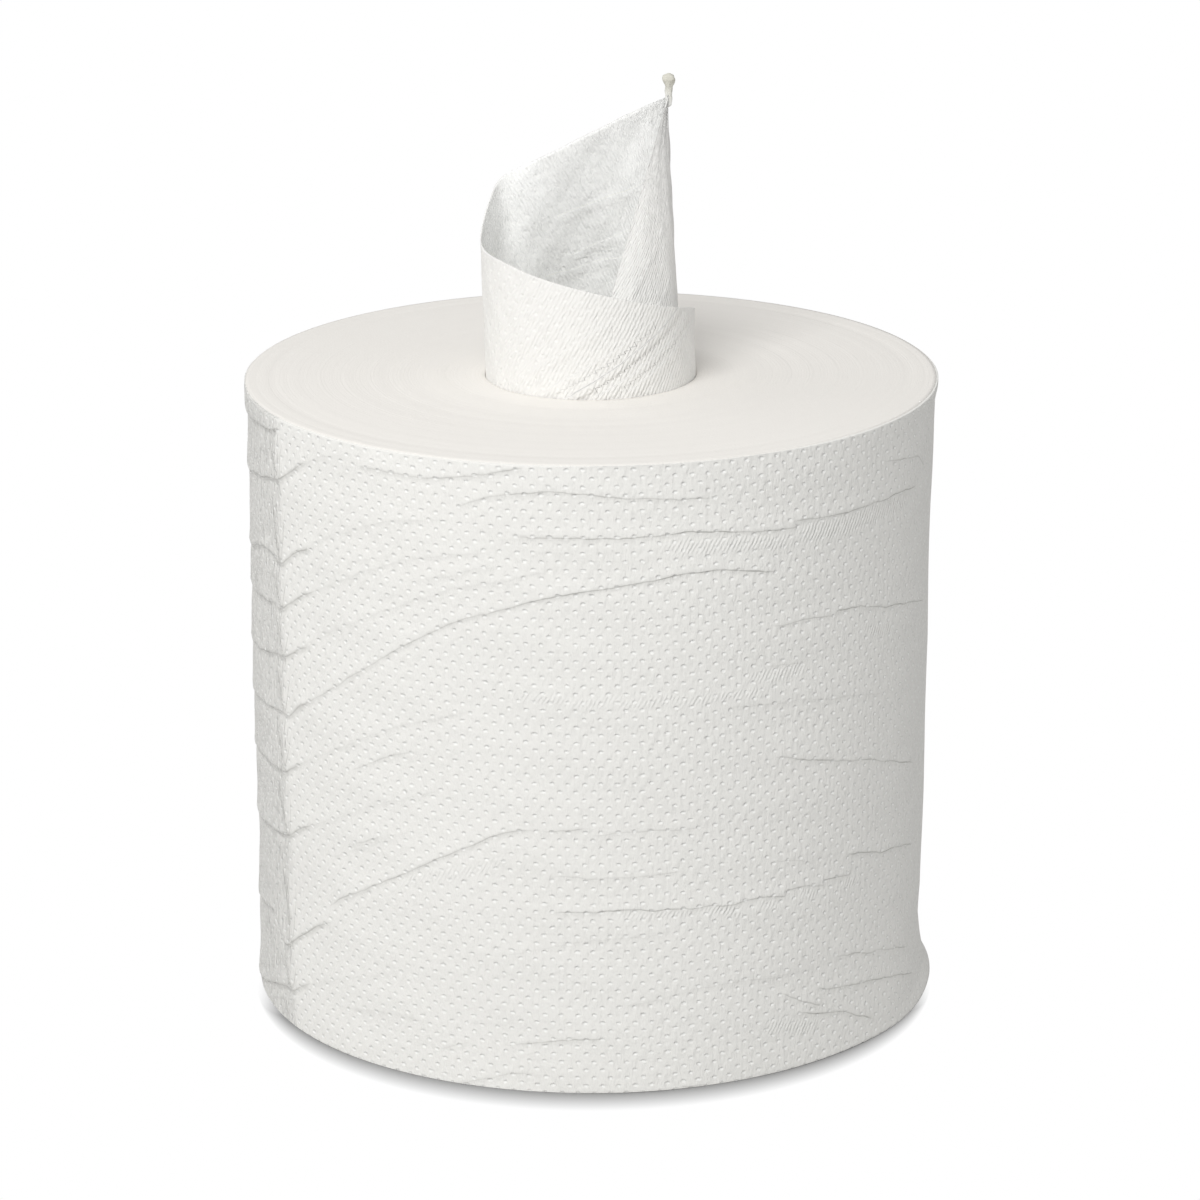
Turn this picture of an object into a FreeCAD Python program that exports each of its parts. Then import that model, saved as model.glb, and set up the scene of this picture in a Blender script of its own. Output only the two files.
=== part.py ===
import FreeCAD, Part
import math
import os

import Sketcher

# A centre-pull roll of embossed paper towel, standing on one end.
# Millimetres. The origin is on the roll's axis, on the face that it stands on. +Z is up.
# Angles are degrees round the axis: 0 is the front (-Y), 90 the right (+X), 270 the left.

SIZES = (
    ("roll_height", 209.5),  # width of the web
    ("roll_radius", 114.5),
    ("bore_radius", 35.7),
    ("rim_round", 0.9),
    ("turn_spacing", 18.5),  # between the grooves where bands of turns meet
    ("first_groove", 11.0),  # from the bore to the first groove
    ("turn_groove_width", 1.8),
    ("turn_groove_depth", 0.7),
    ("paper_thickness", 0.7),  # two embossed plies with the air between them
    ("pulled_rise", 96.0),  # tip of the pulled sheet above the top face
    ("pulled_gap", 1.2),  # between the pulled sheet and the bore
    ("edge_drop", 6.0),  # least way from the sheet's upper edge to where it hangs straight down the bore
    ("tip_right", 25.9),
    ("tip_back", 8.0),
    ("neck_radius", 1.3),
    ("neck_foot_radius", 2.1),
    ("neck_top_radius", 1.2),
    ("neck_length", 8.0),
    ("knob_radius", 2.15),
    ("knob_length", 4.2),
    ("fold_root", 1.3),  # how deep the folds of the outer wrap are rooted in the turns
    ("fold_step", 21.0),  # between the sections of a fold
    ("pucker_proud", 1.5),
    ("pucker_hem", 1.1),  # how far a pucker reaches below its crest
    ("pucker_drape", 11.0),  # and how far above it
    ("crease_proud", 0.7),
    ("crease_hem", 2.0),
    ("crease_drape", 3.0),
    ("lip_proud", 2.8),
    ("lip_height", 34.0),
    ("lip_clearance", 0.4),  # from the surface that the roll stands on
)

# The puckers beside the glued tail: angle, and height as a share of the web's width.
PUCKERS = (
    ((-86, 0.962), (-73, 0.968), (-60, 0.982), (-56, 0.992)),
    ((-88, 0.864), (-70, 0.886), (-61, 0.894), (-56, 0.926), (-50, 0.952)),
    ((-90, 0.738), (-74, 0.768), (-65, 0.774), (-60, 0.764), (-55, 0.802), (-51, 0.822)),
    ((-90, 0.668), (-69, 0.690), (-60, 0.693), (-55, 0.728), (-50, 0.750)),
    ((-88, 0.578), (-68, 0.606), (-60, 0.619), (-55, 0.647)),
    ((-88, 0.498), (-70, 0.520), (-60, 0.524), (-54, 0.556), (-48, 0.580)),
    ((-90, 0.402), (-72, 0.425), (-60, 0.428), (-54, 0.458)),
    ((-88, 0.296), (-71, 0.310), (-61, 0.320), (-55, 0.352)),
    ((-92, 0.142), (-72, 0.166), (-63, 0.128), (-57, 0.166), (-49, 0.212)),
    ((-88, 0.030), (-71, 0.042), (-60, 0.058), (-54, 0.094)),
)

# The long creases of the outer wrap, in the same two measures.
CREASES = (
    ((-40, 0.967), (-28, 0.966), (-19, 0.978)),
    ((-21, 0.925), (-15, 0.948), (-7, 0.960), (3, 0.951), (20, 0.940)),
    ((-11, 0.888), (5, 0.887), (15, 0.892), (34, 0.877), (48, 0.881), (64, 0.876)),
    ((-41, 0.640), (-29, 0.713), (-21, 0.755), (-11, 0.784), (0, 0.811), (15, 0.830), (30, 0.814)),
    ((31, 0.733), (45, 0.727), (62, 0.694), (76, 0.668)),
    ((31, 0.519), (50, 0.474), (68, 0.416)),
    ((54, 0.943), (66, 0.922), (74, 0.882)),
    ((-46, 0.256), (-38, 0.299), (-30, 0.339), (-22, 0.386), (-13, 0.424), (-3, 0.435)),
    ((-44, 0.352), (-34, 0.393)),
    ((-43, 0.477), (-34, 0.519), (-29, 0.534)),
    ((-25, 0.052), (-18, 0.082)),
    ((42, 0.170), (49, 0.157), (60, 0.131), (68, 0.106)),
    ((34, 0.110), (40, 0.079), (53, 0.040)),
    ((96, 0.700), (118, 0.655), (140, 0.664)),
    ((104, 0.385), (126, 0.342), (150, 0.356), (171, 0.330)),
    ((152, 0.842), (176, 0.800), (204, 0.812)),
    ((188, 0.530), (214, 0.572), (240, 0.566)),
)

# The lip where the outer wrap stands away from the roll at its foot: angle, share of lip_proud.
LIP = ((54, 0.0), (64, 0.35), (74, 0.85), (84, 1.0), (96, 0.9), (108, 0.6), (122, 0.25), (134, 0.0))

# The sheet that is pulled up out of the bore, one row for each upright line along it.
# Its foot is in the mouth of the bore: angle, and how far inside the gap to the bore.
# Its head is on the straight edge from the tip to the corner, at the share given,
# and past the corner it has its own angle, distance inside the bore's radius and share of the rise.
STRAIGHT_EDGE = (
    (8, 6.6, 0.000),
    (32, 5.9, 0.012),
    (56, 5.3, 0.024),
    (80, 4.7, 0.036),
    (104, 4.2, 0.052),
    (128, 3.8, 0.090),
    (150, 3.4, 0.165),
    (170, 3.0, 0.290),
    (188, 2.6, 0.460),
    (205, 2.1, 0.640),
    (221, 1.5, 0.810),
    (235, 0.9, 0.950),
)
CORNER = (233.5, 3.8, 0.686)
WOUND_EDGE = (
    (248, 0.4, 247, 0.4, 0.588),
    (263, 0.1, 263, -0.3, 0.490),
    (282, 0.0, 281, 0.3, 0.451),
    (304, 0.0, 303, 1.3, 0.438),
    (330, 0.0, 330, 1.4, 0.408),
    (358, 0.0, 358, 0.4, 0.371),
    (386, 0.0, 386, 0.8, 0.325),
    (414, 0.0, 414, 1.3, 0.279),
    (442, 0.0, 442, 1.6, 0.236),
    (470, 0.1, 470, 1.5, 0.180),
    (498, 0.0, 498, 1.2, 0.115),
    (524, -0.4, 524, 0.7, 0.045),
    (546, -1.2, 546, -0.1, -0.030),
    (564, -3.0, 564, -1.8, -0.110),
)
# The lower edge of the pulled sheet at its two ends, as a share of the web's width.
PULLED_BOTTOM = (0.525, 0.010)
SMOOTHING_COUNT = 2

# How wide a fold is where it dies away, as a share of its width at the middle.
NARROWEST = 0.25
# How high the lip is at its two ends, as a share of its height in the middle.
LOWEST_LIP = 0.35


def make_sheet(doc):
    """The driving sizes, one named cell each."""
    sizes = doc.addObject("Spreadsheet::Sheet", "Sizes")
    for row, (name, value) in enumerate(SIZES, start=1):
        sizes.set("A%d" % row, name)
        sizes.set("B%d" % row, str(value))
        sizes.setAlias("B%d" % row, name)
    doc.recompute()
    return sizes


def plane_of(body, role):
    """The body's own origin plane of that role."""
    return next(item for item in body.Origin.OriginFeatures if item.Role == role)


def draw_outline(sketch, corners):
    """Closed outline whose corners are held by formulas: (x, x formula, y, y formula)."""
    count = len(corners)
    for index, (x, _, y, _) in enumerate(corners):
        after = corners[(index + 1) % count]
        start = FreeCAD.Vector(x, y, 0)
        end = FreeCAD.Vector(after[0], after[2], 0)
        sketch.addGeometry(Part.LineSegment(start, end))
    for index, (x, x_formula, y, y_formula) in enumerate(corners):
        sketch.addConstraint(Sketcher.Constraint("Coincident", index, 2, (index + 1) % count, 1))
        across = sketch.addConstraint(Sketcher.Constraint("DistanceX", -1, 1, index, 1, x))
        upward = sketch.addConstraint(Sketcher.Constraint("DistanceY", -1, 1, index, 1, y))
        sketch.setExpression("Constraints[%d]" % across, x_formula)
        sketch.setExpression("Constraints[%d]" % upward, y_formula)


def groove_corners(sizes, on_top):
    """The V of each groove between two bands of turns, from the bore outwards."""
    face = sizes.roll_height if on_top else 0.0
    face_formula = "Sizes.roll_height" if on_top else "0"
    inward = -1 if on_top else 1
    floor = face + inward * sizes.turn_groove_depth
    floor_formula = "%s %s Sizes.turn_groove_depth" % (face_formula, "-" if on_top else "+")
    first = sizes.bore_radius + sizes.first_groove
    count = math.ceil((sizes.roll_radius - sizes.turn_groove_width - first) / sizes.turn_spacing)
    corners = []
    for number in range(count):
        middle = first + number * sizes.turn_spacing
        formula = "Sizes.bore_radius + Sizes.first_groove + %d * Sizes.turn_spacing" % number
        half = sizes.turn_groove_width / 2
        corners.append((middle - half, formula + " - Sizes.turn_groove_width / 2", face, face_formula))
        corners.append((middle, formula, floor, floor_formula))
        corners.append((middle + half, formula + " + Sizes.turn_groove_width / 2", face, face_formula))
    return corners


def make_turns(doc, sizes):
    """The wound turns: one ring, with grooves on both ends where bands of turns meet."""
    body = doc.addObject("PartDesign::Body", "WoundTurns")
    sketch = body.newObject("Sketcher::SketchObject", "TurnsProfile")
    sketch.AttachmentSupport = [(plane_of(body, "XZ_Plane"), "")]
    sketch.MapMode = "FlatFace"
    inner = (sizes.bore_radius, "Sizes.bore_radius")
    outer = (sizes.roll_radius, "Sizes.roll_radius")
    before_rim = (sizes.roll_radius - sizes.rim_round, "Sizes.roll_radius - Sizes.rim_round")
    bottom = (0.0, "0")
    above_rim = (sizes.rim_round, "Sizes.rim_round")
    below_rim = (sizes.roll_height - sizes.rim_round, "Sizes.roll_height - Sizes.rim_round")
    top = (sizes.roll_height, "Sizes.roll_height")
    corners = [inner + bottom]
    corners += groove_corners(sizes, on_top=False)
    corners += [before_rim + bottom, outer + above_rim, outer + below_rim, before_rim + top]
    corners += reversed(groove_corners(sizes, on_top=True))
    corners += [inner + top]
    draw_outline(sketch, corners)
    turns = body.newObject("PartDesign::Revolution", "Turns")
    turns.Profile = sketch
    turns.ReferenceAxis = (sketch, ["V_Axis"])
    turns.Angle = 360
    body.Tip = turns
    return body


def polar(angle, radius, height):
    """A point at that angle and radius round the roll's axis."""
    turn = math.radians(angle)
    return FreeCAD.Vector(radius * math.sin(turn), -radius * math.cos(turn), height)


def stations_along(path, radius, height, step):
    """Points along a path on the wall, close enough to follow its curve: (angle, height)."""
    stations = []
    for (angle, share), (next_angle, next_share) in zip(path, path[1:]):
        run = math.hypot(radius * math.radians(next_angle - angle), (next_share - share) * height)
        pieces = max(1, math.ceil(run / step))
        for piece in range(pieces):
            part = piece / pieces
            share_here = share + part * (next_share - share)
            stations.append((angle + part * (next_angle - angle), share_here * height))
    stations.append((path[-1][0], path[-1][1] * height))
    return stations


def closed_solid(triangles):
    """The solid inside a closed skin of flat triangles."""
    faces = [Part.Face(Part.makePolygon([a, b, c, a])) for a, b, c in triangles]
    solid = Part.Solid(Part.Shell(faces))
    if solid.Volume < 0:
        solid.reverse()
    return solid


def skin(sections):
    """A closed solid over a row of three-cornered sections."""
    triangles = [tuple(sections[0]), tuple(reversed(sections[-1]))]
    for section, after in zip(sections, sections[1:]):
        for side in range(3):
            other = (side + 1) % 3
            triangles.append((section[side], after[side], section[other]))
            triangles.append((section[other], after[side], after[other]))
    return closed_solid(triangles)


def fold(sizes, path, profile):
    """A fold of the outer wrap: its crest follows the path and dies away into the wall at both ends."""
    proud, below, above = profile
    radius = sizes.roll_radius
    root = radius - sizes.fold_root
    lowest = sizes.rim_round
    highest = sizes.roll_height - sizes.rim_round
    stations = stations_along(path, radius, sizes.roll_height, sizes.fold_step)
    last = len(stations) - 1
    sections = []
    for number, (angle, height) in enumerate(stations):
        swell = math.sin(math.pi * number / last) ** 0.5 if 0 < number < last else 0.0
        sunk = sizes.fold_root / 2
        crest = radius - sunk + swell * (sunk + proud)
        spread = NARROWEST + (1 - NARROWEST) * swell
        lower = polar(angle, root, max(height - spread * below, lowest))
        upper = polar(angle, root, min(height + spread * above, highest))
        sections.append((lower, upper, polar(angle, crest, height)))
    return skin(sections)


def make_folds(doc, sizes, name, paths, profile):
    """All the folds of one kind, each an object of its own until they join the turns."""
    folds = []
    for number, path in enumerate(paths, start=1):
        one = doc.addObject("Part::Feature", "%s%d" % (name, number))
        one.Shape = fold(sizes, path, profile)
        one.Placement = FreeCAD.Placement()
        folds.append(one)
    return folds


def make_lip(doc, sizes):
    """The foot of the outer wrap, which stands away from the roll at the right."""
    root = sizes.roll_radius - sizes.fold_root
    sections = []
    for angle, share in LIP:
        foot = sizes.roll_radius - (1 - share) * sizes.fold_root / 2 + share * sizes.lip_proud
        top = sizes.lip_clearance + (LOWEST_LIP + (1 - LOWEST_LIP) * share) * sizes.lip_height
        sections.append(
            (
                polar(angle, root, sizes.lip_clearance),
                polar(angle, root, top),
                polar(angle, foot, sizes.lip_clearance),
            )
        )
    lip = doc.addObject("Part::Feature", "FootLip")
    lip.Shape = skin(sections)
    lip.Placement = FreeCAD.Placement()
    return lip


def pulled_lines(sizes):
    """The upright lines of the pulled sheet, each as its head, its foot and its lower end."""
    bore = sizes.bore_radius
    face = sizes.roll_height
    rise = sizes.pulled_rise
    neck_bottom = face + rise - sizes.neck_length
    neck_foot = FreeCAD.Vector(sizes.tip_right, sizes.tip_back, neck_bottom + sizes.neck_radius)
    corner = polar(CORNER[0], bore - CORNER[1], face + CORNER[2] * rise)
    lines = []
    for angle, inset, share in STRAIGHT_EDGE:
        start = neck_foot + polar(angle, sizes.neck_radius, 0)
        lines.append((angle, inset, start + (corner - start) * share))
    for angle, inset, head_angle, head_inset, share in WOUND_EDGE:
        lines.append((angle, inset, polar(head_angle, bore - head_inset, face + share * rise)))
    start_angle, end_angle = lines[0][0], lines[-1][0]
    first, last = PULLED_BOTTOM
    upright = []
    for angle, inset, head in lines:
        foot = polar(angle, bore - sizes.pulled_gap - inset, min(face, head.z - sizes.edge_drop))
        along = (angle - start_angle) / (end_angle - start_angle)
        bottom = FreeCAD.Vector(foot.x, foot.y, face * (first + along * (last - first)))
        upright.append((head, (2 * head + foot) / 3, (head + 2 * foot) / 3, foot, bottom))
    return upright


def between(before, start, end, after, part):
    """A point on the smooth curve from start to end, which also heeds the points on either side."""
    drift = (end - before) * 0.5
    leave = (after - start) * 0.5
    return (
        start * (2 * part**3 - 3 * part**2 + 1)
        + drift * (part**3 - 2 * part**2 + part)
        + end * (3 * part**2 - 2 * part**3)
        + leave * (part**3 - part**2)
    )


def smoothed(lines, pieces):
    """The same lines with more of them between, on smooth curves through their points."""
    dense = []
    last = len(lines) - 1
    for number in range(last):
        four = [lines[max(0, min(last, number + offset))] for offset in (-1, 0, 1, 2)]
        for piece in range(pieces):
            dense.append([between(*points, piece / pieces) for points in zip(*four)])
    dense.append(list(lines[-1]))
    return dense


def thickened(lines, thickness):
    """Points on both faces of a sheet through these lines: the outer face, then the inner one."""
    last_line = len(lines) - 1
    last_row = len(lines[0]) - 1
    outer, inner = [], []
    for number, line in enumerate(lines):
        outer.append([])
        inner.append([])
        for row, point in enumerate(line):
            along = lines[min(number + 1, last_line)][row] - lines[max(number - 1, 0)][row]
            down = line[min(row + 1, last_row)] - line[max(row - 1, 0)]
            normal = down.cross(along).normalize() * (thickness / 2)
            outer[-1].append(point - normal)
            inner[-1].append(point + normal)
    return outer, inner


def two_triangles(first, second, third, fourth, other_way=False):
    """A four-cornered patch as two flat triangles, cut along one diagonal or the other."""
    if other_way:
        return [(first, second, third), (first, third, fourth)]
    return [(first, second, fourth), (second, third, fourth)]


def make_pulled_sheet(doc, sizes):
    """The innermost sheet, pulled up out of the bore into a cone that winds about one and a half times."""
    lines = smoothed(pulled_lines(sizes), SMOOTHING_COUNT)
    outer, inner = thickened(lines, sizes.paper_thickness)
    triangles = []
    for left, right, back_left, back_right in zip(outer, outer[1:], inner, inner[1:]):
        for row in range(len(left) - 1):
            below = row + 1
            triangles += two_triangles(left[row], right[row], right[below], left[below])
            behind = (back_right[row], back_left[row], back_left[below], back_right[below])
            triangles += two_triangles(*behind, other_way=True)
        triangles += two_triangles(back_left[0], back_right[0], right[0], left[0])
        triangles += two_triangles(left[-1], right[-1], back_right[-1], back_left[-1])
    for front, back in ((outer[0], inner[0]), (inner[-1], outer[-1])):
        for row in range(len(front) - 1):
            triangles += two_triangles(back[row], front[row], front[row + 1], back[row + 1])
    sheet = doc.addObject("Part::Feature", "PulledSheet")
    sheet.Shape = closed_solid(triangles)
    sheet.Placement = FreeCAD.Placement()
    return sheet


def make_tip(doc):
    """The twisted neck and the knob that the sheet is pulled by."""
    neck = doc.addObject("Part::Cone", "TwistedNeck")
    neck.setExpression("Radius1", "Sizes.neck_foot_radius")
    neck.setExpression("Radius2", "Sizes.neck_top_radius")
    neck.setExpression("Height", "Sizes.neck_length")
    neck.setExpression("Placement.Base.x", "Sizes.tip_right")
    neck.setExpression("Placement.Base.y", "Sizes.tip_back")
    neck.setExpression("Placement.Base.z", "Sizes.roll_height + Sizes.pulled_rise - Sizes.neck_length")
    knob = doc.addObject("Part::Ellipsoid", "Knob")
    knob.setExpression("Radius1", "Sizes.knob_length / 2")
    knob.setExpression("Radius2", "Sizes.knob_radius")
    knob.setExpression("Radius3", "Sizes.knob_radius")
    knob.setExpression("Placement.Base.x", "Sizes.tip_right")
    knob.setExpression("Placement.Base.y", "Sizes.tip_back")
    knob.setExpression("Placement.Base.z", "Sizes.roll_height + Sizes.pulled_rise")
    return [neck, knob]


def main():
    doc = FreeCAD.newDocument("PaperTowelRoll")
    sizes = make_sheet(doc)
    pieces = [make_turns(doc, sizes)]
    pucker = (sizes.pucker_proud, sizes.pucker_hem, sizes.pucker_drape)
    pieces += make_folds(doc, sizes, "Pucker", PUCKERS, pucker)
    crease = (sizes.crease_proud, sizes.crease_hem, sizes.crease_drape)
    pieces += make_folds(doc, sizes, "Crease", CREASES, crease)
    pieces += [make_lip(doc, sizes), make_pulled_sheet(doc, sizes)]
    pieces += make_tip(doc)
    roll = doc.addObject("Part::MultiFuse", "TowelRoll")
    roll.Label = "towel_roll"
    roll.Shapes = pieces
    doc.recompute()
    write_parts(doc, [roll])


def write_parts(doc, nodes):
    """Check every object, then write one file for each node, named by its label."""
    for item in doc.Objects:
        if "Invalid" in item.State or "Error" in item.State:
            raise RuntimeError("%s failed to recompute" % item.Name)
    for node in nodes:
        if node.Shape.isNull() or not node.Shape.isValid():
            raise RuntimeError("%s has no valid shape" % node.Label)
    os.makedirs("parts", exist_ok=True)
    for node in nodes:
        node.Shape.exportStep("parts/%s.step" % node.Label)
        print(node.Label, "solids", len(node.Shape.Solids), "volume", round(node.Shape.Volume))


main()
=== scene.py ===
import math

import bpy
import numpy as np
from mathutils import Matrix, Vector


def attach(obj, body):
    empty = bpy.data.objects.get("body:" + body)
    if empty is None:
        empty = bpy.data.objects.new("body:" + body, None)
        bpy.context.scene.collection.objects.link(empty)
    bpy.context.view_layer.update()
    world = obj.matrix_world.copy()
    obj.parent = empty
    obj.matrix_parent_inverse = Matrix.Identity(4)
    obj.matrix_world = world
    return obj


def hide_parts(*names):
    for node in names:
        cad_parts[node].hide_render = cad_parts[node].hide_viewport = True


bl_info = {
    "name": "Centre-pull paper towel roll",
    "version": (1, 0, 0),
    "blender": (4, 5, 0),
    "location": "3D View > Sidebar > Towel Roll",
    "description": "Builds an embossed centre-pull paper towel roll over its CAD frame",
    "category": "Add Mesh",
}

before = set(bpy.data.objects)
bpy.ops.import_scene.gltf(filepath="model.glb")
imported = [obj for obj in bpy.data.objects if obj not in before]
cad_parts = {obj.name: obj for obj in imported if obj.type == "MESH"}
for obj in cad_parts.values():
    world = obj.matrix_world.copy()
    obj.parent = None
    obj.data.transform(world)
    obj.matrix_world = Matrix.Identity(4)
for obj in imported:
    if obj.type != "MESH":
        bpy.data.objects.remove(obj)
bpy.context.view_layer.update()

MM = 0.001
SEAM = -60  # degrees: where the tail of the web is glued down

# The emboss: rows of small dents, every second row set over by half a pitch.
DENT_PITCH = 5.25  # mm round the roll
DENT_ROWS = 5.4  # mm between rows that stand in line
DENT_WIDTH = 2.1  # mm
DENT_HEIGHT = 1.5  # mm

# Outer wrap. Each web covers a quarter of the wall: name and the angle where it starts.
# Angles are degrees round the axis: 0 is the front (-Y), 90 the right (+X).
WEBS = (("wrap_front", -60), ("wrap_right", 30), ("wrap_back", 120), ("wrap_left", 210))
WEB_SPAN = 90
WEB_COLUMNS = 225
WALL_ROWS = 262
RIM_ROWS = 3
RIM_REACH = 0.6  # mm that the wrap is turned in under each end face
RIM_BELOW_FACE = 0.35  # mm
DEEPEST = -4.2  # mm that the relief may go in

# Puckers beside the glued tail, each as points of (angle, mm above the floor).
PUCKERS = (
    ((-100, 200.5), (-77, 201.7), (-69, 203.3), (-62, 204.6), (-59, 208.4)),
    ((-100, 180.0), (-78, 182.8), (-69, 186.0), (-64, 188.5),
     (-61, 188.5), (-56, 193.9), (-54, 197.0), (-51, 199.4)),
    ((-102, 151.0), (-79, 156.8), (-70, 162.3), (-63, 162.1),
     (-61, 160.2), (-58, 164.2), (-55, 167.9), (-50, 171.5)),
    ((-100, 139.0), (-78, 142.0), (-68, 144.6), (-64, 145.8),
     (-61, 145.2), (-57, 149.7), (-54, 153.9), (-50, 157.1)),
    ((-98, 120.0), (-74, 124.3), (-67, 127.3), (-62, 129.4),
     (-60, 129.7), (-57, 133.0), (-55, 135.6), (-51, 138.0)),
    ((-100, 102.0), (-80, 105.5), (-68, 108.6), (-62, 109.9), (-59, 109.8), (-56, 114.6), (-52, 119.0)),
    ((-100, 82.0), (-78, 86.5), (-67, 88.8), (-61, 89.6), (-58, 92.8), (-54, 97.5)),
    ((-99, 60.5), (-78, 63.2), (-71, 64.8), (-61, 67.0), (-58, 70.4), (-56, 73.5), (-52, 77.0)),
    ((-102, 28.5), (-80, 31.8), (-68, 35.4), (-66, 31.3), (-63, 26.8), (-57, 34.8), (-53, 40.2), (-48, 45.1)),
    ((-98, 0.5), (-81, 2.4), (-67, 10.5), (-63, 12.8), (-60, 12.5), (-58, 16.0), (-54, 19.7)),
)

# Long creases of the wrap: how far the paper above stands out (mm), how far up that fades (mm), points.
CREASES = (
    (0.75, 7.0, ((-40, 202.5), (-28, 202.2), (-18, 205.0), (-10, 208.6))),
    (0.55, 5.0, ((-22, 193.6), (-16, 198.6), (-7, 201.1), (3, 199.3), (20, 196.9))),
    (0.65, 6.0, ((-13, 186.2), (5, 185.7), (15, 186.8), (24, 185.3), (36, 183.4))),
    (0.65, 6.0, ((32, 186.2), (38, 185.2), (44, 184.6), (51, 184.7), (58, 184.4), (68, 182.6))),
    (0.70, 7.0, ((-58, 111.8), (-50, 121.8), (-42, 132.0), (-29, 149.3), (-21, 158.0), (-11, 164.3),
                 (-3, 168.4), (7, 171.3), (15, 173.8), (21, 173.5), (31, 170.4))),
    (0.40, 4.0, ((29, 152.4), (36, 152.6), (44, 150.9))),
    (0.60, 5.0, ((41, 153.2), (47, 152.3), (57, 147.6), (66, 144.2), (75, 139.5))),
    (0.25, 3.0, ((28, 139.9), (37, 138.8))),
    (0.60, 6.0, ((30, 109.0), (40, 104.0), (50, 99.2), (60, 93.0), (69, 86.6))),
    (0.50, 5.0, ((54, 197.5), (68, 191.9), (74, 184.5))),
    (0.80, 7.0, ((-49, 49.0), (-47, 52.9), (-39, 61.3), (-33, 68.4),
                 (-27, 75.0), (-21, 81.9), (-15, 87.5), (-9, 90.4))),
    (0.35, 4.0, ((-9, 89.0), (-5, 89.7), (0, 91.0))),
    (0.25, 4.0, ((-1, 87.8), (4, 88.9), (11, 88.9), (19, 88.6))),
    (0.25, 4.0, ((-7, 74.9), (1, 73.9), (11, 74.1), (15, 74.7))),
    (0.60, 6.0, ((-7, 62.4), (1, 62.7), (8, 62.7), (14, 62.0), (18, 62.3),
                 (22, 61.4), (26, 62.7), (30, 61.9), (34, 60.0))),
    (0.50, 5.0, ((-45, 73.0), (-34, 82.2))),
    (0.50, 5.0, ((-43, 99.9), (-34, 108.7), (-29, 112.0))),
    (0.45, 4.0, ((-24, -0.8), (-20, 1.5), (-17, 3.8), (-14, 5.5), (-9, 6.9))),
    (0.30, 4.0, ((-27, 10.0), (-23, 13.6), (-19, 16.2))),
    (0.50, 4.0, ((-15, 15.0), (-12, 16.3), (-7, 17.6), (-2, 18.9), (3, 18.4))),
    (0.20, 3.0, ((12, 0.6), (16, 1.1), (20, 0.8))),
    (0.40, 4.0, ((-85, 7.4), (-80, 8.1), (-70, 15.2), (-67, 16.2))),
    (0.55, 4.0, ((31, 62.6), (36, 62.8), (38, 61.7), (42, 60.2))),
    (0.55, 4.0, ((39, 62.9), (43, 62.1), (48, 61.2))),
    (0.75, 5.0, ((45, 69.3), (50, 67.3), (56, 63.6), (59, 63.4), (65, 60.6), (70, 56.6))),
    (0.25, 3.0, ((30, 73.4), (35, 72.2), (39, 68.2))),
    (0.50, 5.0, ((42, 35.4), (47, 33.4), (59, 27.9), (68, 21.8))),
    (0.60, 4.0, ((38, 25.9), (47, 22.6), (53, 20.8), (60, 17.6), (72, 10.0))),
    (0.45, 3.0, ((31, 27.8), (36, 23.3), (42, 17.0))),
    (0.65, 4.0, ((34, 19.2), (40, 17.0), (45, 14.3), (49, 11.0), (54, 5.8))),
    (0.60, 7.0, ((94, 148.0), (106, 143.0), (118, 137.2), (140, 139.1))),
    (0.60, 7.0, ((102, 81.6), (114, 75.0), (126, 71.6), (150, 74.6), (173, 69.0))),
    (0.55, 6.0, ((150, 177.0), (164, 171.0), (176, 167.6), (206, 170.3))),
    (0.55, 6.0, ((186, 110.4), (200, 115.6), (214, 119.8), (242, 118.4))),
    (0.40, 4.0, ((212, 60.0), (226, 54.0), (238, 53.0))),
    (0.40, 4.0, ((128, 32.0), (140, 36.0), (158, 35.0))),
)

# Faint long folds that sweep up from the puckers, in the same measures.
SWEEPS = (
    (0.30, 7.0, ((-54, 197.0), (-47, 203.0), (-42, 205.5))),
    (0.36, 8.0, ((-55, 167.9), (-46, 177.0), (-34, 186.5), (-22, 190.5))),
    (0.40, 8.0, ((-52, 155.4), (-40, 167.0), (-30, 175.5), (-16, 181.0))),
    (0.40, 5.0, ((-44, 168.2), (-37, 173.0), (-31, 178.0))),
    (0.32, 5.0, ((-38, 159.0), (-30, 164.6))),
    (0.40, 5.0, ((-29, 168.2), (-22, 171.8), (-19, 174.4), (-14, 175.9))),
    (0.30, 6.0, ((-50, 14.8), (-37, 19.7), (-27, 19.9))),
    (0.36, 8.0, ((-55, 135.6), (-46, 146.0), (-34, 157.5), (-22, 168.0), (-6, 175.5))),
    (0.34, 8.0, ((-57, 94.0), (-46, 106.0), (-34, 118.0), (-20, 127.5))),
    (0.30, 7.0, ((-54, 75.0), (-46, 82.0), (-38, 90.5), (-24, 101.0))),
    (0.26, 6.0, ((-50, 66.0), (-42, 73.0), (-30, 85.0))),
    (0.30, 7.0, ((-54, 19.7), (-46, 26.5), (-34, 34.0))),
    (0.26, 7.0, ((-16, 46.0), (-2, 52.5), (14, 55.0))),
    (0.28, 8.0, ((20, 128.0), (36, 126.0), (56, 119.0))),
    (0.28, 8.0, ((4, 30.0), (20, 35.0), (38, 33.0))),
    (0.28, 8.0, ((112, 104.0), (134, 100.0), (160, 106.0))),
    (0.28, 8.0, ((182, 36.0), (206, 30.0), (226, 33.0))),
    (0.28, 8.0, ((196, 148.0), (220, 144.0), (244, 150.0))),
)

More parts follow.
